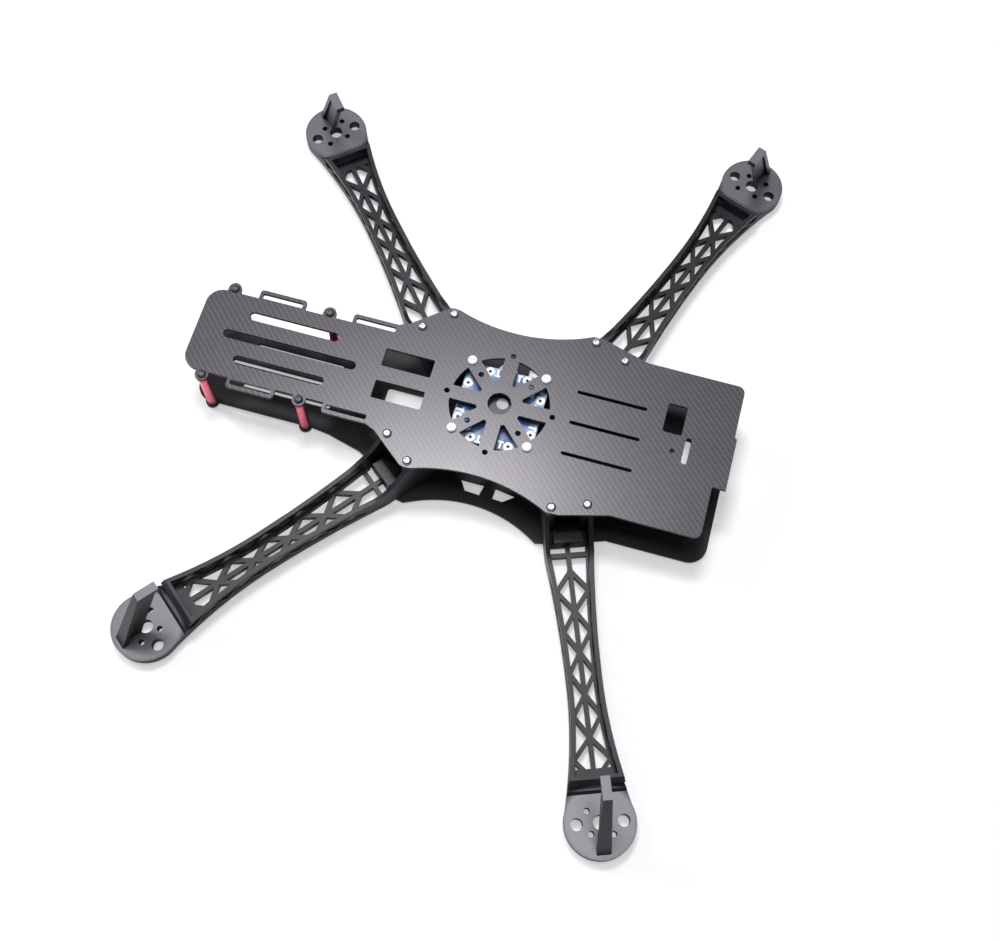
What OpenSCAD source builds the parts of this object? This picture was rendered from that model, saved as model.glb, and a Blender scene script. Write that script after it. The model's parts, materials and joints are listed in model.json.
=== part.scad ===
// Four-arm drone frame kit, upside down on its back, with its landing feet in the air.
// Origin: centre of the round hole in the base plate, on that plate's outer face. +X is the rear.

/* [Plates] */
// Thickness of both carbon plates
plate_t = 2; // [1.5:0.25:3]
// Gap between the two plates, which is the height of the arm roots and of the standoffs
stack_gap = 35; // [30:1:42]
// Front end of the base plate, measured ahead of the origin
front_len = 186.5; // [182:1:220]
// Rear end of the base plate, measured behind the origin
rear_len = 137; // [122:1:170]
// How far the near rear corner is set back from that end
rear_setback = 6.5; // [3:0.5:10]
// How far the middle of the rear end stands out as a tab
rear_tab = 1.5; // [1:0.5:5]
// Half of the width of that tab
tab_half = 17; // [8:1:30]
// Half of the width of the base plate's front section
front_half = 27.3; // [26.5:0.1:28]
// Half of the width of the base plate's rear section
rear_half = 49.7; // [49:0.1:52]
// Radius of the front corners
front_r = 10; // [3:0.5:14]
// Radius of the rear corners
rear_r = 4.5; // [2:0.5:8]
// Half of the width at the waist between the arms
waist_half = 46.9; // [46.7:0.1:49]
// Radius of the waist's long arc
waist_r = 105; // [100:1:112]

/* [Cable and strap openings] */
// Width of the three long slots in the front section
front_slot_w = 5.6; // [3:0.2:6.4]
// Spacing of those slots
front_slot_pitch = 14.9; // [14:0.1:15.6]
// Width of the narrow slots in the rear section and in the cover plate's front
thin_slot_w = 2.2; // [1.5:0.1:3]
// Length of the two cable windows
window_len = 30; // [20:1:32]
// Width of the two cable windows
window_w = 11.7; // [6:0.1:13]
// Distance of their inner edges from the middle line
window_in = 4.8; // [3:0.1:6]
// Length of the rear lead window
lead_len = 11.5; // [6:0.5:14]
// Width of the rear lead window
lead_w = 18.6; // [10:0.2:22]
// Thickness of the outer strip of a strap loop
loop_strip = 2.3; // [1.6:0.1:2.6]
// Height of a strap loop's opening
loop_gap = 3.8; // [2:0.1:4]

/* [Power board] */
// Distance from the power board's screws to its edge
board_margin = 2.5; // [2.2:0.1:4]
// Thickness of the board
board_t = 1.6; // [1:0.2:2.4]
// Side of the square on which its four screws sit
board_pitch = 45; // [44:0.5:54]
// Height of the spacers between plate and board
spacer_h = 5; // [1:0.5:8]
// Side of the small controller hole square
small_pitch = 30.5; // [30:0.5:31]
// Distance between the ring of eight windows and the centres of the holes outside it
star_margin = 2.2; // [2:0.1:5]
// Inner radius of the ring of eight windows
star_in = 13.6; // [11:0.2:15]
// Width of the spokes between the windows
spoke_w = 8.6; // [6:0.2:9]
// Radius of the round hole in the middle
hub_r = 7; // [5:0.2:8]

/* [Arms] */
// Distance from the line of the two arm screws to the motor's centre
arm_len = 171.2; // [140:1:210]
// Distance between the two arm screws
arm_screws = 20.6; // [19:0.2:21.5]
// Half of the arm's width at the root
root_half = 14; // [13.8:0.1:15]
// Half of the arm's width at its narrowest
slim_half = 9.7; // [8.5:0.1:11]
// Radius of the motor pad
pad_r = 20; // [18.5:0.5:22]
// Thickness of the motor pad
pad_t = 6; // [4:0.5:8]
// Height of the side walls along the arm
rail_h = 13.5; // [11:0.5:17]
// Thickness of the side walls
rail_t = 2.6; // [2:0.1:3.2]
// Width of the ribs in the lattice floor
rib_w = 2.6; // [2:0.1:3.5]
// Height of those ribs
rib_h = 4; // [3:0.5:5]
// Total height of the arm at its landing foot
foot_h = 53; // [42:1:70]
// Thickness of the landing foot's web
foot_t = 3; // [2.4:0.1:4]

/* [Fasteners] */
// Radius of an M3 thread
m3_r = 1.5; // [1.5]
// Radius of an M2.5 thread
m25_r = 1.25; // [1.25]
// Clearance between a plate hole and its screw
hole_gap = 0.2; // [0.1:0.05:0.3]
// Clearance between a screw's thread and the hole that it is driven into
thread_gap = 0.05; // [0.05:0.01:0.1]
// Radius of the standoffs
standoff_r = 3; // [2.5:0.1:3.2]
// Radius of a steel button head
head_r = 2.75; // [2.6:0.05:2.85]
// Height of a steel button head
head_h = 1.65; // [1.4:0.05:1.9]

/* [Hidden] */
eps = 0.01;
m3_hole = m3_r + hole_gap;
m25_hole = m25_r + hole_gap;
board_half = board_pitch / 2;
ring_r = board_half * sqrt(2);
star_r = ring_r - star_margin;
board_side = board_pitch + 2 * board_margin;
z_inner = -plate_t;
z_cover = z_inner - stack_gap;
z_outer = z_cover - plate_t;

// Arm stations along the arm, from the line of its two base plate screws
root_back = 20;
screw_half = arm_screws / 2;
rear_boss = -14;
boss_r = root_half - screw_half;
ramp_end = 27;
slim_at = 95;
pad_start = arm_len - 2;
cell = 24.2;
first_cell = 40;
bulkhead = arm_len - 24.2;
lattice_end = bulkhead - 5;
step_end = arm_len - 15.4;
cells = floor((lattice_end - first_cell) / cell) + 1;
screw_depth = 8;

// Where the arms sit: the middle of the two screws, and the direction of the arm
front_mid = [-49.35, 42.65];
front_dir = 129.7;
rear_mid = [54.75, 50.5];
rear_dir = 69.4;

// Where the standoffs sit
standoff_y = 29.5;
nose_x = -front_len + 14;
mid_x = -113;
ear_r = 4;

// An arc as a list of points, from angle a0 to angle a1
function arc(c, r, a0, a1, n = 8) =
  [for (i = [0 : n]) let (a = a0 + (a1 - a0) * i / n) c + r * [cos(a), sin(a)]];
function flip(pts) = [for (i = [len(pts) - 1 : -1 : 0]) [pts[i].x, -pts[i].y]];
// A long arc that dips to y = low at x = at, between two x values
function waist(low, r, at, x0, x1, n = 20) =
  [for (i = [0 : n]) let (x = x0 + (x1 - x0) * i / n) [x, low + r - sqrt(r * r - (x - at) * (x - at))]];

module both_sides() { children(); mirror([0, 1, 0]) children(); }
module square4(pitch) {
  for (x = [-1, 1], y = [-1, 1]) translate([x * pitch / 2, y * pitch / 2, 0]) children();
}
module axis4(r) { for (a = [0 : 90 : 270]) rotate(a) translate([r, 0, 0]) children(); }
module disc(r) { circle(r, $fn = 32); }
// A rectangle with round corners, given by its two opposite corners
module rounded(a, b, r) {
  translate([a.x + r, a.y]) square([b.x - a.x - 2 * r, b.y - a.y]);
  translate([a.x, a.y + r]) square([b.x - a.x, b.y - a.y - 2 * r]);
  for (x = [a.x + r, b.x - r], y = [a.y + r, b.y - r]) translate([x, y]) disc(r);
}
// A slot with round ends, along X
module slot(x0, x1, y, w) {
  translate([x0 + w / 2, y - w / 2]) square([x1 - x0 - w, w]);
  for (x = [x0 + w / 2, x1 - w / 2]) translate([x, y]) disc(w / 2);
}

// ---- Base plate ----
lobe_front = -70;
lobe_out = front_half + loop_gap + loop_strip;
// One half of the outline, from the nose to the tail: a round ear carries each standoff, and
// two strap loops stand out beside the front section
function ear(x, base) = concat([[x - ear_r, base]], arc([x, standoff_y], ear_r, 180, 0, 12),
  [[x + ear_r, base]]);
function loop(x0, x1) = concat([[x0, front_half]], arc([x0 + 2, lobe_out - 2], 2, 180, 90, 5),
  arc([x1 - 2, lobe_out - 2], 2, 90, 0, 5), [[x1, front_half]]);
loop_front = [-157, -128];
loop_rear = -98.5;
function half_base(rear_x) = concat(
  arc([-front_len + front_r, front_half - front_r], front_r, 180, 90),
  ear(nose_x, front_half), loop(loop_front[0], loop_front[1]), ear(mid_x, front_half),
  [[loop_rear, front_half]], arc([loop_rear + 2, lobe_out - 2], 2, 180, 90, 5),
  [[lobe_front - 1, lobe_out], [-65, 36], [-45, 52.5], [-42, 53.2]],
  waist(waist_half, waist_r, -3.5, -38, 43),
  [[50, 57.4], [78, rear_half]],
  arc([rear_x - rear_r, rear_half - rear_r], rear_r, 90, 0));
module base_outline() {
  polygon(concat(half_base(rear_len),
    [[rear_len, tab_half], [rear_len + rear_tab, tab_half - rear_tab],
     [rear_len + rear_tab, -tab_half], [rear_len - rear_setback, -tab_half]],
    flip(half_base(rear_len - rear_setback))));
}
module loop_openings() {
  both_sides() for (x = [loop_front, [loop_rear, lobe_front]])
    rounded([x[0] + 2, front_half + 0.6], [x[1] - 2, front_half + loop_gap], 1);
}
module star_windows() {
  difference() {
    disc(star_r);
    disc(star_in);
    for (a = [0 : 45 : 135]) rotate(a) square([2 * star_r + 2, spoke_w], center = true);
  }
  disc(hub_r);
}
module controller_holes() {
  square4(small_pitch) disc(m3_hole);
  axis4(ring_r) disc(m3_hole);
}
module front_slots(w, reach, pitch) {
  slot(-169.5, reach, 0, w);
  both_sides() slot(-158.2, -102.5, pitch, w);
}
module base_openings() {
  star_windows();
  square4(board_pitch) disc(m3_hole);
  controller_holes();
  front_slots(front_slot_w, -87.5, front_slot_pitch);
  both_sides() rounded([-43.6 - window_len, window_in], [-43.6, window_in + window_w], 1);
  for (y = [-20, 0, 20]) slot(42, 84, y, thin_slot_w);
  rounded([95.3, 9.2], [95.3 + lead_len, 9.2 + lead_w], 1.5);
  rotate(90) slot(-7.8, 9, -111.6, 3.4);
  translate([103.5, -1.5]) disc(m25_hole);
}
module plate_screw_holes(r) {
  both_sides() for (x = [nose_x, mid_x]) translate([x, standoff_y]) disc(r);
}
module arm_screw_pair() { both_sides() translate([0, screw_half, 0]) children(); }
module each_arm() {
  both_sides() {
    at_front_left() children();
    at_rear_left() children();
  }
}
module at_front_left() { translate(front_mid) rotate(front_dir) children(); }
module at_rear_left() { translate(rear_mid) rotate(rear_dir) children(); }

module base_plate() color("dimgray") translate([0, 0, -plate_t]) linear_extrude(plate_t)
  difference() {
    base_outline();
    base_openings();
    loop_openings();
    plate_screw_holes(m3_hole);
    each_arm() arm_screw_pair() disc(m3_hole);
  }

// ---- Cover plate ----
cover_front = 184;
cover_rear = 139;
cover_half = 29.5;
cover_rear_half = 51.5;
cover_corner = 11;
cover_waist = 51.2;
function half_cover() = concat(
  arc([-cover_front + front_r, cover_half - front_r], front_r, 180, 90),
  ear(nose_x, cover_half), ear(mid_x, cover_half),
  [[-98, cover_half + 1.5], [-77, 36.5], [-71, 40], [-48, 60], [-42, 61]],
  waist(cover_waist, 78, -3.5, -34, 40),
  [[46, 63], [60, 59], [80, cover_rear_half]],
  arc([cover_rear - cover_corner, cover_rear_half - cover_corner], cover_corner, 90, 0));
module cover_openings() {
  controller_holes();
  disc(hub_r);
  front_slots(thin_slot_w + 0.3, -103, 14);
  rounded([-72, -8.6], [-44, 8.6], 2);
  both_sides() {
    polygon([[-12.5, 37.5], [2, 37.5], [0.5, 44.6], [-8.5, 44]]);
    polygon([[9, 37.5], [22, 39.5], [15, 45], [8.5, 44.6]]);
    rounded([109, 7], [116, 24.5], 2);
  }
  for (y = [-20, 0, 20]) slot(42, 84, y, thin_slot_w);
}
module cover_screw_places() {
  for (x = [0, rear_boss]) translate([x, 0, 0]) arm_screw_pair() children();
}
module cover_plate() color("dimgray") translate([0, 0, z_outer]) linear_extrude(plate_t)
  difference() {
    polygon(concat(half_cover(), flip(half_cover())));
    cover_openings();
    plate_screw_holes(m3_hole);
    each_arm() cover_screw_places() disc(m25_hole);
  }

// ---- Power board with its solder pads, spacers, screws and nuts ----
board_top = z_inner - spacer_h;
pad_out = 2.8;
pad_hole = 0.9;
pad_film = 0.1;
pad_row = board_side / 2 - 3;
pad_side = 11.4;
module pad_places() {
  for (a = [0 : 90 : 270], s = [-1, 1]) rotate(a) translate([pad_row, s * pad_side, 0]) children();
}
module board_outline() {
  rounded([-board_side / 2, -board_side / 2], [board_side / 2, board_side / 2], 2);
}
module power_board() color("royalblue") translate([0, 0, board_top - board_t])
  linear_extrude(board_t) difference() {
    board_outline();
    square4(board_pitch) disc(m3_hole);
    square4(small_pitch) disc(m3_hole);
    pad_places() disc(pad_hole);
  }
module board_pads() color("white") translate([0, 0, board_top]) linear_extrude(pad_film)
  pad_places() difference() { disc(pad_out); disc(pad_hole); }
// Printed strokes beside each pad, and a round spot under the hub hole
module board_marks() color("white") translate([0, 0, board_top]) linear_extrude(pad_film) {
  for (a = [0 : 90 : 270], s = [-1, 1]) rotate(a) translate([pad_row, s * 6.6, 0]) {
    translate([-2.4, -0.6]) square([4.8, 1.2]);
    translate([s > 0 ? -2.4 : 1.3, -1.7]) square([1.1, 3.4]);
  }
  translate([1.1, 3.4]) disc(3.5);
}
module board_spacers() color("white") translate([0, 0, board_top]) linear_extrude(spacer_h)
  square4(board_pitch) difference() { disc(3); disc(m3_hole); }
nylon_head_h = 2.2;
nut_h = 2.4;
module board_screws() color("whitesmoke") square4(board_pitch) difference() {
  union() {
    cylinder(h = nylon_head_h, r = 2.9, $fn = 32);
    translate([0, 0, board_top - board_t - nut_h - 1])
      cylinder(h = -board_top + board_t + nut_h + 1 + eps, r = m3_r, $fn = 32);
  }
  for (a = [0, 90]) rotate(a) translate([-1.7, -0.3, nylon_head_h - 1]) cube([3.4, 0.6, 2]);
}
module board_nuts() color("white") square4(board_pitch)
  translate([0, 0, board_top - board_t - nut_h]) linear_extrude(nut_h)
    difference() { circle(3.1, $fn = 6); disc(m3_r + thread_gap); }

// ---- Arms, drawn along +X with z = 0 on the cover plate ----
function half_w(u) = u < 20 ? root_half
  : u < slim_at ? slim_half + (root_half - slim_half) * pow((slim_at - u) / (slim_at - 20), 2)
  : slim_half + (pad_r - slim_half) * pow((u - slim_at) / (pad_start - slim_at), 2);
function edge_pts(inset, u0, u1, n = 22) =
  [for (i = [0 : n]) let (u = u0 + (u1 - u0) * i / n) [u, half_w(u) - inset]];
module band(inset, u0, u1) {
  top = edge_pts(inset, u0, u1);
  polygon(concat(top, flip(top)));
}
module arm_plan() { band(0, -root_back, pad_start); translate([arm_len, 0]) disc(pad_r); }
// Side view of the walls: full height at the root, a swept ramp, then the low rail
function ramp_pts() = [for (i = [0 : 10]) let (u = ramp_end * i / 10)
  [u, rail_h + (stack_gap - rail_h) * pow(1 - u / ramp_end, 2)]];
module side_profile() {
  polygon(concat([[-root_back, 0], [-root_back, stack_gap]], ramp_pts(),
    [[bulkhead + 2, rail_h], [step_end, pad_t], [step_end, 0]]));
}
module across(width) {
  rotate([90, 0, 0]) translate([0, 0, -width / 2]) linear_extrude(width) children();
}
module rail_ring() difference() {
  band(0, -root_back, step_end);
  band(rail_t, -root_back + rail_t, bulkhead);
}
// Triangular windows through both side walls, two in each cell
module wall_windows() {
  low = rib_h + 0.6;
  high = rail_h - 3;
  for (i = [0 : cells - 1]) translate([first_cell + i * cell, 0]) {
    polygon([[-9.5, low], [9.5, low], [0, high]]);
    polygon([[2.6, high], [cell - 2.6, high], [cell / 2, low]]);
  }
}
module walls() difference() {
  intersection() {
    linear_extrude(stack_gap) rail_ring();
    across(3 * pad_r) side_profile();
  }
  across(3 * pad_r) wall_windows();
}
module rib(a, b) {
  d = b - a;
  translate(a) rotate(atan2(d.y, d.x)) translate([-rib_w / 2, -rib_w / 2])
    square([norm(d) + rib_w, rib_w]);
}
module lattice() linear_extrude(rib_h) intersection() {
  band(0.5, -root_back, step_end);
  union() {
    translate([-root_back, -rib_w / 2]) square([step_end + root_back, rib_w]);
    difference() { band(0.5, 14, step_end); band(rail_t + 1, 14, step_end + 1); }
    for (i = [0 : cells - 1], s = [-1, 1], e = [-1, 1]) {
      u = first_cell + i * cell;
      rib([u + e * cell / 2, 0], [u, s * (half_w(u) - rail_t)]);
    }
    translate([17, -root_half]) square([rib_w, 2 * root_half]);
    translate([lattice_end, -pad_r]) square([step_end - lattice_end, 2 * pad_r]);
  }
}
// Root box: floor, end wall, cross block and the four screw bosses
module root_box() {
  linear_extrude(3) intersection() {
    band(0.5, -root_back, 15);
    translate([-root_back, -root_half]) square([root_back + 13, 2 * root_half]);
  }
  translate([7, -8.4, 0]) cube([6, 16.8, 12]);
  arm_screw_pair() cylinder(h = stack_gap, r = boss_r, $fn = 32);
  translate([rear_boss, 0, 0]) arm_screw_pair() cylinder(h = stack_gap, r = boss_r, $fn = 32);
}
motor_holes = [[8, 45], [8, 225], [9.5, 135], [9.5, 315]];
module motor_pad() translate([arm_len, 0, 0]) difference() {
  union() {
    cylinder(h = pad_t, r = pad_r, $fn = 64);
    translate([step_end - arm_len - 1, 0, 0]) linear_extrude(pad_t)
      intersection() {
        translate([1 - step_end, 0]) band(0, step_end - 1, pad_start);
        translate([0, -pad_r]) square([pad_start - step_end + 1, 2 * pad_r]);
      }
  }
  translate([0, 0, -eps]) cylinder(h = pad_t + 1, r = 4, $fn = 32);
  for (s = [-1, 1]) translate([0, s * 13, -eps]) cylinder(h = pad_t + 1, r = 3.4, $fn = 32);
  for (m = motor_holes) rotate(m[1]) translate([m[0], 0, -eps])
    cylinder(h = pad_t + 1, r = m3_hole, $fn = 32);
}
// The landing foot leans inwards: a web, a wider outer flange and a flat sole
module landing_foot() {
  tip = arm_len + pad_r - 2.4;
  sole = [arm_len - 17.8, arm_len - 5.4];
  low = pad_t - 1;
  across(foot_t) polygon([[arm_len + 4.3, low], [tip, low], [sole[1], foot_h], [sole[0], foot_h]]);
  intersection() {
    across(9) polygon([[tip - 3, low], [tip, low], [sole[1], foot_h], [sole[1] - 3, foot_h]]);
    rotate([90, 0, 90]) linear_extrude(2 * arm_len)
      polygon([[-4.2, 0], [4.2, 0], [2.5, foot_h], [-2.5, foot_h]]);
  }
  across(5) polygon([[sole[0], foot_h - 3.5], [sole[1] + 1.2, foot_h - 3.5],
    [sole[1], foot_h], [sole[0], foot_h]]);
}
module arm() color("#1c1c1e") translate([0, 0, z_cover]) difference() {
  union() { walls(); lattice(); root_box(); motor_pad(); landing_foot(); }
  arm_screw_pair() translate([0, 0, stack_gap - screw_depth - 1])
    cylinder(h = screw_depth + 1 + eps, r = m3_r + thread_gap, $fn = 32);
  translate([0, 0, -eps]) cover_screw_places()
    cylinder(h = screw_depth + 1, r = m25_r + thread_gap, $fn = 32);
}
module arm_front_left() at_front_left() arm();
module arm_rear_left() at_rear_left() arm();
module arm_front_right() mirror([0, 1, 0]) arm_front_left();
module arm_rear_right() mirror([0, 1, 0]) arm_rear_left();

// ---- Steel screws, head up with the thread along -Z from z = 0 ----
module button_screw(r, grip) difference() {
  union() {
    cylinder(h = head_h - 0.7, r = head_r, $fn = 32);
    translate([0, 0, head_h - 0.7]) cylinder(h = 0.7, r1 = head_r, r2 = head_r - 0.9, $fn = 32);
    translate([0, 0, -grip]) cylinder(h = grip + eps, r = r, $fn = 32);
  }
  translate([0, 0, head_h - 1]) cylinder(h = 2, r = 1.1, $fn = 6);
}
module arm_screws_here() arm_screw_pair() button_screw(m3_r, plate_t + screw_depth);
module cover_screws_here() translate([0, 0, z_outer]) mirror([0, 0, 1])
  cover_screw_places() button_screw(m25_r, plate_t + screw_depth);
module arm_screws_front_left() color("silver") at_front_left() arm_screws_here();
module arm_screws_rear_left() color("silver") at_rear_left() arm_screws_here();
module arm_screws_front_right() mirror([0, 1, 0]) arm_screws_front_left();
module arm_screws_rear_right() mirror([0, 1, 0]) arm_screws_rear_left();
module cover_screws_front_left() color("silver") at_front_left() cover_screws_here();
module cover_screws_rear_left() color("silver") at_rear_left() cover_screws_here();
module cover_screws_front_right() mirror([0, 1, 0]) cover_screws_front_left();
module cover_screws_rear_right() mirror([0, 1, 0]) cover_screws_rear_left();

// ---- Standoffs between the plates, with a screw from each side ----
standoff_grip = 8;
module standoff(x, y) color("crimson") translate([x, y, z_cover]) difference() {
  cylinder(h = stack_gap, r = standoff_r, $fn = 32);
  for (z = [-eps, stack_gap - standoff_grip - 1]) translate([0, 0, z])
    cylinder(h = standoff_grip + 1 + eps, r = m3_r + thread_gap, $fn = 32);
}
module standoff_nose_left() standoff(nose_x, standoff_y);
module standoff_nose_right() standoff(nose_x, -standoff_y);
module standoff_mid_left() standoff(mid_x, standoff_y);
module standoff_mid_right() standoff(mid_x, -standoff_y);
module at_standoffs() {
  both_sides() for (x = [nose_x, mid_x]) translate([x, standoff_y, 0]) children();
}
module standoff_base_screws() color("#303030")
  at_standoffs() button_screw(m3_r, plate_t + standoff_grip);
module standoff_cover_screws() color("#303030") translate([0, 0, z_outer]) mirror([0, 0, 1])
  at_standoffs() button_screw(m3_r, plate_t + standoff_grip);

base_plate();
cover_plate();
power_board();
board_pads();
board_marks();
board_spacers();
board_screws();
board_nuts();
arm_front_left();
arm_front_right();
arm_rear_left();
arm_rear_right();
arm_screws_front_left();
arm_screws_front_right();
arm_screws_rear_left();
arm_screws_rear_right();
cover_screws_front_left();
cover_screws_front_right();
cover_screws_rear_left();
cover_screws_rear_right();
standoff_nose_left();
standoff_nose_right();
standoff_mid_left();
standoff_mid_right();
standoff_base_screws();
standoff_cover_screws();
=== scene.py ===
import json
import math
import bmesh
import bpy
import numpy as np
from mathutils import Matrix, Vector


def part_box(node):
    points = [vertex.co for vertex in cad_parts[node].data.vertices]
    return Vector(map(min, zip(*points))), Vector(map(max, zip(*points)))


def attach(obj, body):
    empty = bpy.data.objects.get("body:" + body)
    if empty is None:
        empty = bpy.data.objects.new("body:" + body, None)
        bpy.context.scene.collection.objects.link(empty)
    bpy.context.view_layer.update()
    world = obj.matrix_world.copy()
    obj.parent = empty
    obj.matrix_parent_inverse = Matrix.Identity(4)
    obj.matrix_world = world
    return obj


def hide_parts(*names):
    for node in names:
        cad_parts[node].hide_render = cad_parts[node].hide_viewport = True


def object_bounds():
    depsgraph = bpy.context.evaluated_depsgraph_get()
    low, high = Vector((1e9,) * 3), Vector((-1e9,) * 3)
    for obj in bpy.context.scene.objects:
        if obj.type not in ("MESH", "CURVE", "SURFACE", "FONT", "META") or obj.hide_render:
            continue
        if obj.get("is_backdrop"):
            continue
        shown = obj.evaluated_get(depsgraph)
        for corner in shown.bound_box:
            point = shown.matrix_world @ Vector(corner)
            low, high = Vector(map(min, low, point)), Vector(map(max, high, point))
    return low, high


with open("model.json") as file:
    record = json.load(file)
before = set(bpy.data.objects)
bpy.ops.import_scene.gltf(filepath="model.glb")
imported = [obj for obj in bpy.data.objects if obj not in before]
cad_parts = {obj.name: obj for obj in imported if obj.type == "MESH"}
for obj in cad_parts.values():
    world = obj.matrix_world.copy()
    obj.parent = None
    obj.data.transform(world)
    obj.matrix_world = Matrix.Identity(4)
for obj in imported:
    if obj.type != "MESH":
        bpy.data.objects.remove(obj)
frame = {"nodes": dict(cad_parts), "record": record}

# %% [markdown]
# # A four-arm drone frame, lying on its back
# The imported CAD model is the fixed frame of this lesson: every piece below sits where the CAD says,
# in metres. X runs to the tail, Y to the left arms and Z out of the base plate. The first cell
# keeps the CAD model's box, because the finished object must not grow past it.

MM = 0.001
WELD = 0.001 * MM
nodes = frame["nodes"]
cad_low, cad_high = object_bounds()
print("CAD box, mm:", [round(v / MM, 1) for v in (*cad_low, *cad_high)])

# %% [markdown]
# ## Camera
# The object is seen from steeply above, a little from the tail's side and slightly rolled. The
# camera is described as a photographer would: a target on the object, a distance, an elevation, an
# azimuth and a roll. A plain focal length keeps the perspective of a small product set.

# %% Camera
elevation, azimuth, roll = map(math.radians, (68.215, 11.498, 4.066))
target = np.array((11.456, -40.651, 0.0)) * MM
distance = 754.14 * MM
back = np.array((math.sin(azimuth) * math.cos(elevation),
                 -math.cos(azimuth) * math.cos(elevation), math.sin(elevation)))
right = np.array((math.cos(azimuth), math.sin(azimuth), 0.0))
up = np.cross(back, right)
right_rolled = math.cos(roll) * right + math.sin(roll) * up
up_rolled = math.cos(roll) * up - math.sin(roll) * right

camera = bpy.data.objects.new("camera", bpy.data.cameras.new("camera"))
bpy.context.scene.collection.objects.link(camera)
camera.data.sensor_width = 36
camera.data.lens = 47.56
camera.data.clip_start, camera.data.clip_end = 0.01, 50
place = np.eye(4)
place[:3, 0], place[:3, 1], place[:3, 2] = right_rolled, up_rolled, back
place[:3, 3] = target + back * distance
camera.matrix_world = Matrix(place.tolist())
bpy.context.scene.camera = camera
print("camera at, mm:", (place[:3, 3] / MM).round(1))

# %% [markdown]
# ## Floor and light
# The frame lies on a white sweep. The floor is a wide, plain sheet. Seen by the camera it is partly
# a light of its own, more so away from the object, so it reads as white there and still keeps the
# soft shadow near the object. The main lamp stands high on the far side: satin surfaces mirror it
# towards the camera, which gives the plate its pale sheen. The near lamp does the same for the
# near motor pads, and the side lamp throws the shadows to the right. The world fills them, and is
# white to the camera alone.

# %% Floor
FLOOR_WIDTH = 12
FADE = (0.2, 0.42)
GLOW = (0.42, 0.9)
floor_z = cad_low.z
bpy.ops.mesh.primitive_plane_add(size=FLOOR_WIDTH, location=(0, 0, floor_z))
floor = bpy.context.object
floor.name = "floor"
floor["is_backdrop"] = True
paper = bpy.data.materials.new("white_paper")
paper.use_nodes = True
tree = paper.node_tree
tree.nodes.clear()
diffuse = tree.nodes.new("ShaderNodeBsdfDiffuse")
diffuse.inputs["Color"].default_value = (0.84, 0.84, 0.85, 1)
glow = tree.nodes.new("ShaderNodeEmission")
path = tree.nodes.new("ShaderNodeLightPath")
share = tree.nodes.new("ShaderNodeMath")
share.operation = "MULTIPLY"
where = tree.nodes.new("ShaderNodeTexCoord")
reach = tree.nodes.new("ShaderNodeVectorMath")
reach.operation = "LENGTH"
fade = tree.nodes.new("ShaderNodeMapRange")
fade.interpolation_type = "SMOOTHSTEP"
for socket, value in zip(("From Min", "From Max", "To Min", "To Max"), (*FADE, *GLOW)):
    fade.inputs[socket].default_value = value
blend = tree.nodes.new("ShaderNodeMixShader")
end = tree.nodes.new("ShaderNodeOutputMaterial")
tree.links.new(where.outputs["Object"], reach.inputs[0])
tree.links.new(reach.outputs["Value"], fade.inputs["Value"])
tree.links.new(path.outputs["Is Camera Ray"], share.inputs[0])
tree.links.new(fade.outputs[0], share.inputs[1])
tree.links.new(share.outputs[0], blend.inputs[0])
tree.links.new(diffuse.outputs[0], blend.inputs[1])
tree.links.new(glow.outputs[0], blend.inputs[2])
tree.links.new(blend.outputs[0], end.inputs["Surface"])
floor.data.materials.append(paper)
print("floor at, mm:", round(floor_z / MM, 2))


# %% Lamps and world
def soft_lamp(name, place, aim, size, watts, tint):
    """A rectangular area lamp at a place, turned so that it shines on the aim point."""
    light = bpy.data.lights.new(name, "AREA")
    light.shape = "RECTANGLE"
    light.size, light.size_y = size
    light.energy = watts
    light.color = tint
    lamp = bpy.data.objects.new(name, light)
    bpy.context.scene.collection.objects.link(lamp)
    lamp.location = place
    lamp.rotation_mode = "QUATERNION"
    way = Matrix.Translation(aim).translation - lamp.location
    lamp.rotation_quaternion = way.to_track_quat("-Z", "Y")


violet = (0.985, 0.955, 1.0)
soft_lamp("main_lamp", (-0.21, 0.39, 1.5), (0, 0, 0), (0.44, 0.28), 20.5, violet)
soft_lamp("near_lamp", (0.0, -0.10, 1.5), (0, 0, 0), (0.9, 0.45), 9, violet)
soft_lamp("side_lamp", (-1.3, 0.3, 1.1), (0, 0, 0), (0.5, 0.5), 15, violet)
FILL, BACKDROP = 0.16, 1.0
world = bpy.data.worlds.new("studio")
bpy.context.scene.world = world
world.use_nodes = True
sky = world.node_tree
sky.nodes["Background"].inputs["Color"].default_value = (1, 1, 1, 1)
seen = sky.nodes.new("ShaderNodeLightPath")
level = sky.nodes.new("ShaderNodeMapRange")
level.inputs["To Min"].default_value, level.inputs["To Max"].default_value = FILL, BACKDROP
sky.links.new(seen.outputs["Is Camera Ray"], level.inputs["Value"])
sky.links.new(level.outputs[0], sky.nodes["Background"].inputs["Strength"])
bpy.context.scene.view_settings.view_transform = "Standard"

# %% [markdown]
# ## A small language for materials
# Patterns such as a weave are formulas of a position. Wrapping a socket in a class lets a formula
# be written as ordinary Python, and each operator adds the Math node that does it. Numbers alone
# are worked out by Python, so the node tree holds only what changes over the surface.


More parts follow.
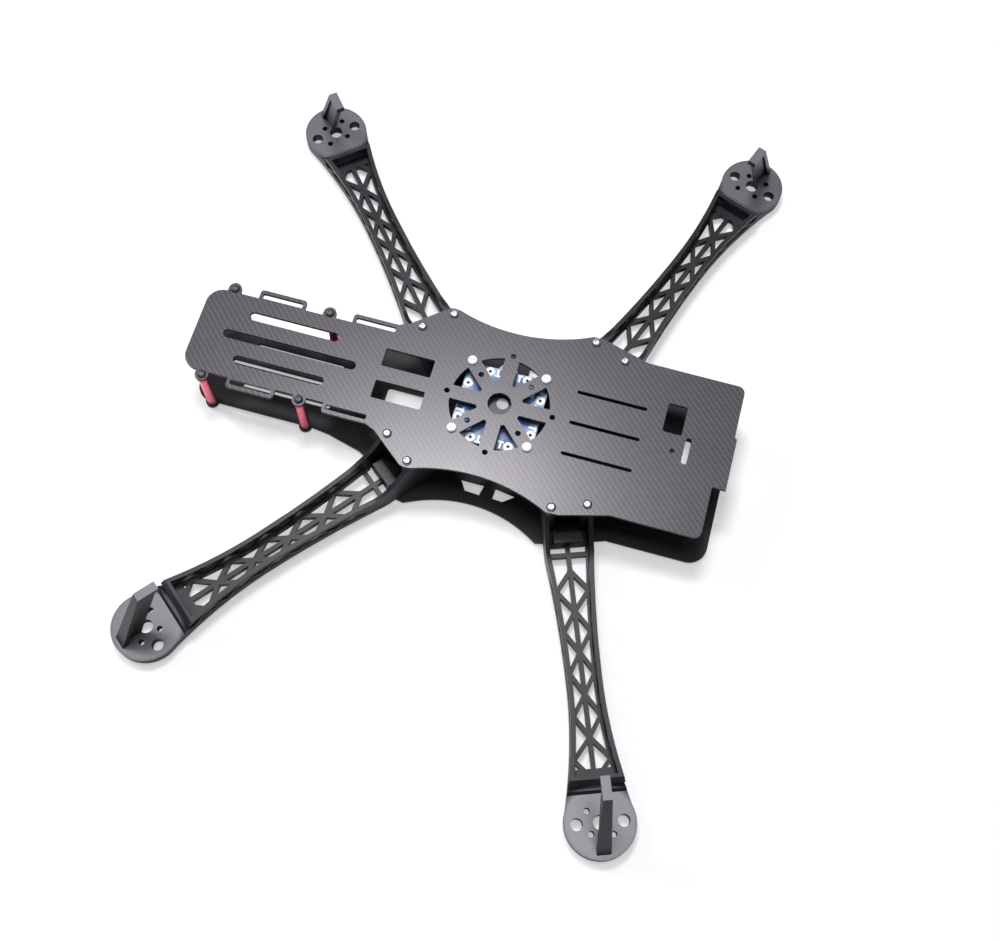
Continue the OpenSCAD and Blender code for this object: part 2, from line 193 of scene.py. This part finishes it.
# %% Socket arithmetic
class Field:
    """A number that changes over a surface. Arithmetic on it adds Math nodes."""

    def __init__(self, finish, socket):
        self.finish, self.socket = finish, socket

    def math(self, operation, *others, clamp=False):
        inputs = dict(enumerate((self, *others)))
        node = self.finish.add("ShaderNodeMath",
                               {"operation": operation, "use_clamp": clamp}, inputs)
        return Field(self.finish, node.outputs[0])

    def flipped(self, operation, other):
        node = self.finish.add("ShaderNodeMath", {"operation": operation}, {0: other, 1: self})
        return Field(self.finish, node.outputs[0])

    def __add__(self, other): return self.math("ADD", other)
    def __radd__(self, other): return self.math("ADD", other)
    def __sub__(self, other): return self.math("SUBTRACT", other)
    def __rsub__(self, other): return self.flipped("SUBTRACT", other)
    def __mul__(self, other): return self.math("MULTIPLY", other)
    def __rmul__(self, other): return self.math("MULTIPLY", other)
    def __truediv__(self, other): return self.math("DIVIDE", other)
    def __rtruediv__(self, other): return self.flipped("DIVIDE", other)
    def __pow__(self, other): return self.math("POWER", other)
    def __mod__(self, other): return self.math("FLOORED_MODULO", other)
    def __abs__(self): return self.math("ABSOLUTE")
    def __lt__(self, other): return self.math("LESS_THAN", other)
    def __gt__(self, other): return self.math("GREATER_THAN", other)
    def floor(self): return self.math("FLOOR")
    def sin(self): return self.math("SINE")
    def low(self, other): return self.math("MINIMUM", other)
    def high(self, other): return self.math("MAXIMUM", other)
    def clip(self): return self.math("ADD", 0.0, clamp=True)

    def ramp(self, start, stop, low=0.0, high=1.0):
        """Runs smoothly from low at start to high at stop, and is flat outside."""
        node = self.finish.add("ShaderNodeMapRange", {"interpolation_type": "SMOOTHSTEP"},
                               {"Value": self, "From Min": start, "From Max": stop,
                                "To Min": low, "To Max": high})
        return Field(self.finish, node.outputs[0])


# %% The finish, one material
def socket_name(key):
    return key.replace("_", " ").title().replace("Ior", "IOR")


class Finish:
    """One material: a Principled shader and the nodes that feed it."""

    def __init__(self, name, **constants):
        self.material = bpy.data.materials.new(name)
        self.material.use_nodes = True
        self.tree = self.material.node_tree
        self.tree.nodes.clear()
        self.shader = self.add("ShaderNodeBsdfPrincipled", {},
                               {socket_name(k): v for k, v in constants.items()})
        end = self.add("ShaderNodeOutputMaterial", {}, {"Surface": self.shader.outputs[0]})
        self.place = self.add("ShaderNodeTexCoord").outputs["Object"]
        split = self.add("ShaderNodeSeparateXYZ", {}, {0: self.place})
        self.x, self.y, self.z = (Field(self, s) for s in split.outputs)
        face = self.add("ShaderNodeNewGeometry").outputs["Normal"]
        facing = self.add("ShaderNodeSeparateXYZ", {}, {0: face})
        self.up = Field(self, facing.outputs[2])

    def add(self, kind, settings=(), inputs=()):
        """Adds a node: its settings first, then a value or a link for each named socket."""
        node = self.tree.nodes.new(kind)
        for key, value in dict(settings).items():
            setattr(node, key, value)
        for key, value in dict(inputs).items():
            value = value.socket if isinstance(value, Field) else value
            if isinstance(value, bpy.types.NodeSocket):
                self.tree.links.new(value, node.inputs[key])
            else:
                node.inputs[key].default_value = value
        return node

    def noise(self, size, detail=2.0, vector=None):
        """Soft random patches about as wide as size, in metres, from 0 to 1."""
        node = self.add("ShaderNodeTexNoise", {}, {
            "Vector": self.place if vector is None else vector,
            "Scale": 1 / size, "Detail": detail})
        return Field(self, node.outputs[0])

    def vector(self, x, y, z):
        return self.add("ShaderNodeCombineXYZ", {}, {0: x, 1: y, 2: z}).outputs[0]

    def mix(self, amount, first, second):
        """A colour that runs from first, where amount is 0, to second, where it is 1."""
        node = self.add("ShaderNodeMix", {"data_type": "RGBA"}, {0: amount, 6: first, 7: second})
        return node.outputs[2]

    def feed(self, **sockets):
        for key, value in sockets.items():
            value = value.socket if isinstance(value, Field) else value
            self.tree.links.new(value, self.shader.inputs[socket_name(key)])

    def bump(self, height, depth, strength=1.0):
        """Relief of the given height, as deep as depth in metres."""
        node = self.add("ShaderNodeBump", {},
                        {"Strength": strength, "Distance": depth, "Height": height})
        self.tree.links.new(node.outputs[0], self.shader.inputs["Normal"])


def grey(value, tint=(1.0, 1.0, 1.0)):
    return (value * tint[0], value * tint[1], value * tint[2], 1)


# %% [markdown]
# ## Carbon plate
# The plates are cut from sheet laminated with a fine twill: each tow passes over two and under two
# of the tows that cross it, one step further along in each row, so that slanting lines appear. A
# cell's row and column decide which tow is on top. A tow is round across its width and arches
# along its float, and its grey is painted lighter on the crown and darker at the edges and low
# ends, a painted sheen and shade. The two directions catch the light differently, so they get two
# greys, a painted sheen. Only the outer face of a plate is polished; its inner face is matte, and
# painted darker as painted shade between the plates. On a cut edge the layers show as thin stripes
# instead. The face's direction tells the three apart.

# %% Carbon plate finish
TOW = 1.0 * MM
LAYER = 0.25 * MM


def carbon_finish(name, outer):
    """Twill carbon whose outer face, up (1) or down (-1), is polished; the other face is matte and
    painted darker, as painted shade.
    """
    f = Finish(name, coat_roughness=0.24, specular_ior_level=0.2)
    across, along = f.x / TOW, f.y / TOW
    column, row = across.floor(), along.floor()
    warp_on_top = (column + row) % 4.0 < 1.5
    weft_on_top = 1 - warp_on_top
    round_warp = 1 - ((across - column - 0.5) * 2) ** 2.0
    round_weft = 1 - ((along - row - 0.5) * 2) ** 2.0
    arch_warp = (((along + column) % 4.0) * (math.pi / 2)).sin().high(0.0)
    arch_weft = ((((across + row) % 4.0) - 2) * (math.pi / 2)).sin().high(0.0)
    height = (warp_on_top * round_warp * (arch_warp * 0.7 + 0.3)
              + weft_on_top * round_weft * (arch_weft * 0.7 + 0.3))
    cloud = f.noise(38 * MM)
    fibre = (f.noise(1 * MM, 1, f.vector(f.x * 6, f.y * 0.5, 0)) * warp_on_top
             + f.noise(1 * MM, 1, f.vector(f.x * 0.5, f.y * 6, 0)) * weft_on_top)
    # painted sheen and shade: the weave's grey is lighter on each tow's crown, darker at its edges
    # and low ends, and differs between the two directions; the fibre streaks and patches are the
    # plate's own grain
    tow_sheen_shade_and_grain = (0.05 + 0.95 * height) * (0.6 + 0.4 * warp_on_top) * (0.6 + 0.7 * fibre) + cloud * 0.08
    polished = f.up * outer > 0.5
    flat = abs(f.up) > 0.5
    weave = f.mix(tow_sheen_shade_and_grain.clip(), grey(0.003, (1, 0.96, 1.12)), grey(0.11, (1.0, 0.96, 1.1)))
    # painted shade: the inner faces, which lie between the plates, get a darker colour; their higher
    # roughness is their own finish
    matte_and_shaded = f.mix((tow_sheen_shade_and_grain * 0.3 + cloud * 0.4).clip(),
                 grey(0.012, (1, 0.97, 1.1)), grey(0.045, (1, 0.97, 1.08)))
    layer = (f.z / LAYER % 1.0 < 0.3) * 0.5 + f.noise(0.4 * MM) * 0.5
    edge = f.mix(layer.clip(), grey(0.015), grey(0.05))
    f.feed(base_color=f.mix(flat, edge, f.mix(polished, matte_and_shaded, weave)),
           roughness=0.55 - 0.29 * polished + 0.08 * cloud,
           coat_weight=polished * 0.3)
    f.bump((height + fibre * 0.15) * flat, 0.04 * MM, 0.5)
    return f


base_carbon = carbon_finish("base_plate_carbon", 1.0)
cover_carbon = carbon_finish("cover_plate_carbon", -1.0)
print("carbon tow, mm:", TOW / MM)

# %% [markdown]
# ## Moulded black nylon
# The arms are injection moulded in nylon filled with short glass fibre. The skin is nearly black
# with a fine grain. The flat faces of the motor pads and the soles of the feet are glossier, and are
# painted paler where they face up, a painted sheen. A spot belongs to a pad where it is near a
# motor mount of the record, faces up and lies low.

# %% Moulded nylon finish
black_nylon = Finish("black_nylon", specular_ior_level=0.22, coat_roughness=0.3)
grain = black_nylon.noise(0.5 * MM, 3)
flow = black_nylon.noise(14 * MM, 3)
pads = [m["pos_m"] for m in frame["record"]["mounts"]
        if m["name"].startswith("motor_") and m["name"].endswith("_16")]
PAD_RIM = (18 * MM, 23 * MM)
PADS_BELOW, SOLES_ABOVE = -28 * MM, 12 * MM
away = None
for pad in pads:
    gap = ((black_nylon.x - pad[0]) ** 2.0 + (black_nylon.y - pad[1]) ** 2.0) ** 0.5
    away = gap if away is None else away.low(gap)
facing_up = black_nylon.up > 0.7
pad_top = away.ramp(*PAD_RIM, 1.0, 0.0) * facing_up * (black_nylon.z < PADS_BELOW)
sole = facing_up * (black_nylon.z > SOLES_ABOVE)
skin = black_nylon.mix((flow * 0.7 + grain * 0.3).ramp(0.3, 0.75),
                       grey(0.008, (1, 0.96, 1.18)), grey(0.022, (1, 0.96, 1.15)))
# painted sheen: the up-facing faces of the motor pads and soles get a much paler colour; their coat
# is their own gloss
painted_sheen = black_nylon.mix(grain.ramp(0.2, 0.8),
                        grey(0.07, (1, 0.97, 1.12)), grey(0.15, (1, 0.97, 1.1)))
black_nylon.feed(base_color=black_nylon.mix((pad_top * 0.85 + sole).clip(), skin, painted_sheen),
                 roughness=0.3 + 0.16 * grain + 0.08 * flow,
                 coat_weight=(pad_top * 0.85 + sole * 0.6).clip())
black_nylon.bump(grain, 0.05 * MM, 0.3)
print("motor pads:", len(pads))

# %% [markdown]
# ## Metals and white nylon
# Turned metal has a fine grain. Faint rings from the tool change only its roughness and bump. The
# board's screws are milky nylon that lets a little light into the surface.


# %% Metals, white nylon and red standoffs
def spun(name, low, high, base_rough, metallic=1.0, size=0.5 * MM):
    """A metal with a fine grain between two colours."""
    f = Finish(name, metallic=metallic)
    grain = f.noise(size, 3)
    rings = (f.z / (0.06 * MM)).sin() * 0.5 + 0.5
    f.feed(base_color=f.mix(grain.ramp(0.25, 0.75), low, high),
           roughness=base_rough + 0.12 * grain + 0.05 * rings)
    f.bump(grain * 0.6 + rings * 0.4, 0.01 * MM, 0.4)
    return f


steel = spun("plated_steel", grey(0.3, (1, 0.98, 1.04)), grey(0.5, (1, 0.98, 1.03)), 0.3)
black_steel = spun("black_oxide_steel", grey(0.03), grey(0.09), 0.34, 0.6)
red_metal = spun("red_anodised", (0.55, 0.05, 0.09, 1), (0.8, 0.16, 0.24, 1), 0.22, 0.8)
white_nylon = Finish("white_nylon", subsurface_weight=0.12, subsurface_scale=1 * MM)
milky = white_nylon.noise(2 * MM, 3)
milk = white_nylon.mix(milky.ramp(0.2, 0.8), (0.74, 0.77, 0.82, 1), (0.86, 0.88, 0.9, 1))
white_nylon.feed(base_color=milk, roughness=0.3 + 0.15 * milky)
white_nylon.bump(milky, 0.03 * MM, 0.3)

# %% [markdown]
# ## Power board
# The board is glass laminate under blue solder mask, with broad copper areas that show through as a
# slightly different blue. The rings and strokes are printed in white over it.

# %% Board finishes
TRACK_PITCH = 2.2 * MM
HUB_SHADOW, PAINTED_LIGHT_RING = (7 * MM, 10 * MM), (16 * MM, 25 * MM)
board_blue = Finish("blue_solder_mask")
radius = (board_blue.x * board_blue.x + board_blue.y * board_blue.y) ** 0.5
stripes = (board_blue.x + board_blue.y) / TRACK_PITCH % 1.0 < 0.45
lanes = stripes * (board_blue.noise(9 * MM) > 0.5)
plane = (radius > 12 * MM) * 0.5 + lanes * 0.35
mottle = board_blue.noise(1.2 * MM, 3)
copper = board_blue.mix((plane + mottle * 0.2).clip(),
                        (0.006, 0.022, 0.075, 1), (0.02, 0.09, 0.26, 1))
# painted light: pale cyan patches on the ring 16 to 25 mm from the middle stand for lit parts of the
# blue mask
painted_light_patches = radius.ramp(*PAINTED_LIGHT_RING) * board_blue.noise(5 * MM).ramp(0.35, 0.6)
rim = board_blue.mix(painted_light_patches * 0.7, copper, (0.3, 0.5, 0.6, 1))
# painted shadow: the board is near black within 7 to 10 mm of the middle, where the rim of the hub
# hole shades it
mask = board_blue.mix(radius.ramp(*HUB_SHADOW), (0.006, 0.007, 0.01, 1), rim)
board_blue.feed(base_color=mask, roughness=0.35 + 0.2 * mottle)
board_blue.bump(plane, 0.04 * MM, 0.5)
print_white = Finish("printed_white")
speck = print_white.noise(0.4 * MM, 2)
middle = (print_white.x * print_white.x + print_white.y * print_white.y) ** 0.5 < 9 * MM
ink = print_white.mix(speck.ramp(0.3, 0.7), grey(0.72), grey(0.86, (1, 1, 0.98)))
print_white.feed(base_color=print_white.mix(middle, ink, (0.36, 0.4, 0.38, 1)),
                 roughness=0.5 + 0.2 * speck)

# %% [markdown]
# ## Moulded arms with broken edges
# No real edge is perfectly sharp. The CAD mesh is loose triangles, so a copy is merged into one
# skin, its flat areas are joined again, and a Bevel modifier rounds each edge that is steeper than
# a limit. Weighted normals keep the large faces flat beside it.


# %% Copies with broken edges
def eased_copy(node, name, finish, width, steps=2, limit=35):
    """A merged copy of a CAD node whose sharp edges are rounded to the given width."""
    source = nodes[node]
    mesh = source.data.copy()
    mesh.name = name
    mesh.materials.clear()
    work = bmesh.new()
    work.from_mesh(mesh)
    bmesh.ops.remove_doubles(work, verts=work.verts, dist=WELD)
    bmesh.ops.dissolve_limit(work, angle_limit=math.radians(1.0),
                             verts=work.verts, edges=work.edges)
    for face in work.faces:
        face.smooth = True
    work.to_mesh(mesh)
    work.free()
    piece = bpy.data.objects.new(name, mesh)
    bpy.context.scene.collection.objects.link(piece)
    bevel = piece.modifiers.new("ease", "BEVEL")
    bevel.width, bevel.segments = width, steps
    bevel.limit_method, bevel.angle_limit = "ANGLE", math.radians(limit)
    even = piece.modifiers.new("even", "WEIGHTED_NORMAL")
    even.mode, even.weight, even.keep_sharp = "FACE_AREA", 100, True
    mesh.materials.append(finish.material)
    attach(piece, "root")
    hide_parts(node)
    print(name, "faces", len(mesh.polygons))
    return piece


for side in ("front_left", "front_right", "rear_left", "rear_right"):
    eased_copy("arm_" + side, "moulded_arm_" + side, black_nylon, 0.35 * MM)


# %% [markdown]
# ## Screws and standoffs
# Heads and standoffs are turned parts: a profile of radius and height carried round an axis. A hex
# socket or a screwdriver slot comes from the same grid, where the radius of the inner rings follows
# a polygon instead of a circle. One function makes all copies of a part in one mesh.


# %% Turned parts
def ring_shape(angles, shape, size):
    """Distance from the axis at each angle: the size for a circle, the flats for other shapes."""
    if shape == "hexagon":
        return size / np.cos((angles + math.pi / 6) % (math.pi / 3) - math.pi / 6)
    if shape == "slot":
        return np.minimum(size[0] / np.maximum(abs(np.cos(angles)), 1e-6),
                          size[1] / np.maximum(abs(np.sin(angles)), 1e-6))
    return np.full_like(angles, size)


def turned(name, profile, places, finish, node, flip=1.0, count=48, extra=()):
    """Rings (shape, size, height) joined in turn round Z, closed at both ends, at each place."""
    angles = np.unique(np.r_[np.linspace(0, 2 * math.pi, count, endpoint=False), extra])
    sizes = np.array([ring_shape(angles, s, r) for s, r, _ in profile])
    heights = np.array([h for _, _, h in profile])[:, None] * np.ones_like(angles)
    one = np.stack([sizes * np.cos(angles), sizes * np.sin(angles), heights * flip], -1)
    one = one.reshape(-1, 3) * MM
    rows, n = len(profile), len(angles)
    i, j = np.meshgrid(np.arange(rows - 1), np.arange(n), indexing="ij")
    k = (j + 1) % n
    quads = np.stack([i * n + j, i * n + k, (i + 1) * n + k, (i + 1) * n + j], -1).reshape(-1, 4)
    if flip < 0:
        quads = quads[:, ::-1]
    way = 1 if flip > 0 else -1
    ends = [list(range(n))[::-way], list(range((rows - 1) * n, rows * n))[::way]]
    points = (one[None] + np.asarray(places)[:, None]).reshape(-1, 3)
    faces = [tuple(int(v) + copy * len(one) for v in face)
             for copy in range(len(places)) for face in [*quads, *ends]]
    mesh = bpy.data.meshes.new(name)
    mesh.from_pydata(points.tolist(), [], faces)
    mesh.shade_smooth()
    mesh.set_sharp_from_angle(angle=math.radians(40))
    piece = bpy.data.objects.new(name, mesh)
    bpy.context.scene.collection.objects.link(piece)
    mesh.materials.append(finish.material)
    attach(piece, "root")
    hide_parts(node)
    print(name, "copies", len(places), "vertices", len(points))


# %% Where the CAD put each screw
def middles(node):
    """The middle of each separate solid of a CAD node, from its loose parts."""
    mesh = nodes[node].data
    work = bmesh.new()
    work.from_mesh(mesh)
    bmesh.ops.remove_doubles(work, verts=work.verts, dist=WELD)
    left, found = set(work.verts), []
    while left:
        stack, group = [left.pop()], []
        while stack:
            v = stack.pop()
            group.append(v.co[:])
            near = [e.other_vert(v) for e in v.link_edges]
            stack += [w for w in near if w in left]
            left -= set(near)
        group = np.array(group)
        found.append(((group.min(0) + group.max(0)) / 2)[:2])
    work.free()
    return np.array(found)


def dome(r, h, socket, depth, shank, length, edge=0.25):
    """Profile of a domed head with a hex socket and its threaded shank with a pointed tip."""
    turn = np.linspace(0, 1, 7)[1:]
    rim = [("circle", r, 0.0), ("circle", r, h * 0.3)]
    cap = [("circle", r - (r - socket - edge) * t, h * (0.3 + 0.7 * math.sin(math.pi / 2 * t)))
           for t in turn]
    bore = [("hexagon", socket, h - 0.02), ("hexagon", socket, h - depth),
            ("circle", 0.15, h - depth - 0.25)]
    tip = [("circle", shank - 0.45, -length), ("circle", shank, -length + 0.45)]
    half_pitch, groove = 0.25, 0.22
    thread = [("circle", shank - groove * (k % 2), -length + 0.7 + half_pitch * k)
              for k in range(int((length - 1.0) / half_pitch))]
    return tip + thread + [("circle", shank, -0.05)] + rim + cap + bore


HEAD_R, HEAD_H = 2.75, 1.65
m3_button = dome(HEAD_R, HEAD_H, 1.1, 1.0, 1.5, 10.0)
m25_button = dome(HEAD_R, HEAD_H, 1.1, 1.0, 1.25, 10.0)
for side in ("front_left", "front_right", "rear_left", "rear_right"):
    for kind, profile, way in (("arm_screws_", m3_button, 1.0),
                               ("cover_screws_", m25_button, -1.0)):
        node = kind + side
        level = 0.0 if way > 0 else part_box(node)[0][2] + HEAD_H * MM
        spots = [(*m, level) for m in middles(node)]
        turned("turned_" + node, profile, spots, steel, node, way)
for node, way in (("standoff_base_screws", 1.0), ("standoff_cover_screws", -1.0)):
    level = 0.0 if way > 0 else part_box(node)[0][2] + HEAD_H * MM
    spots = [(*m, level) for m in middles(node)]
    turned("turned_" + node, m3_button, spots, black_steel, node, way)

# %% Red standoffs
for spot in ("nose_left", "nose_right", "mid_left", "mid_right"):
    node = "standoff_" + spot
    low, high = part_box(node)
    tall = (high[2] - low[2]) / MM
    post = [("circle", r, h) for r, h in ((1.56, 0.9), (1.56, 0.0), (2.55, 0.0), (3.0, 0.45),
                                          (3.0, 2.6), (2.8, 2.8), (2.8, 3.3), (3.0, 3.5))]
    post += [("circle", r, tall - h) for _, r, h in reversed(post)]
    spots = [(*middles(node)[0], low[2])]
    turned("turned_" + node, post, spots, red_metal, node)

# %% White nylon screws
shank_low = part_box("board_screws")[0][2] / MM
lip = [("circle", r, h) for r, h in ((2.9, 0.0), (2.9, 0.9), (2.75, 1.5),
                                     (2.35, 1.95), (1.95, 2.2))]
SLOT_MOUTH, SLOT_WALL = (1.75, 0.34), (1.7, 0.3)
corner = math.atan2(SLOT_MOUTH[1], SLOT_MOUTH[0])
slot_rings = [("slot", SLOT_MOUTH, 2.2), ("slot", SLOT_WALL, 2.1),
              ("slot", SLOT_WALL, 1.2), ("slot", (0.4, 0.1), 1.18)]
stem = [("circle", 1.1, shank_low), ("circle", 1.5, shank_low + 0.4), ("circle", 1.5, -0.02)]
spots = [(*m, 0.0) for m in middles("board_screws")]
turned("turned_board_screws", stem + lip + slot_rings, spots, white_nylon,
       "board_screws", 1.0, 60, [corner, math.pi - corner, math.pi + corner, 2 * math.pi - corner])

# %% Materials on the CAD nodes that stay
keep = {"base_plate": base_carbon, "cover_plate": cover_carbon, "power_board": board_blue,
        "board_pads": print_white, "board_marks": print_white,
        "board_spacers": white_nylon, "board_nuts": white_nylon}
for node, finish in keep.items():
    mesh = nodes[node].data
    mesh.materials.clear()
    mesh.materials.append(finish.material)
print("finished CAD nodes:", sorted(keep))

# %% Sizes
low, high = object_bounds()
print("visual box, mm:", [round(v / MM, 1) for v in (*low, *high)])
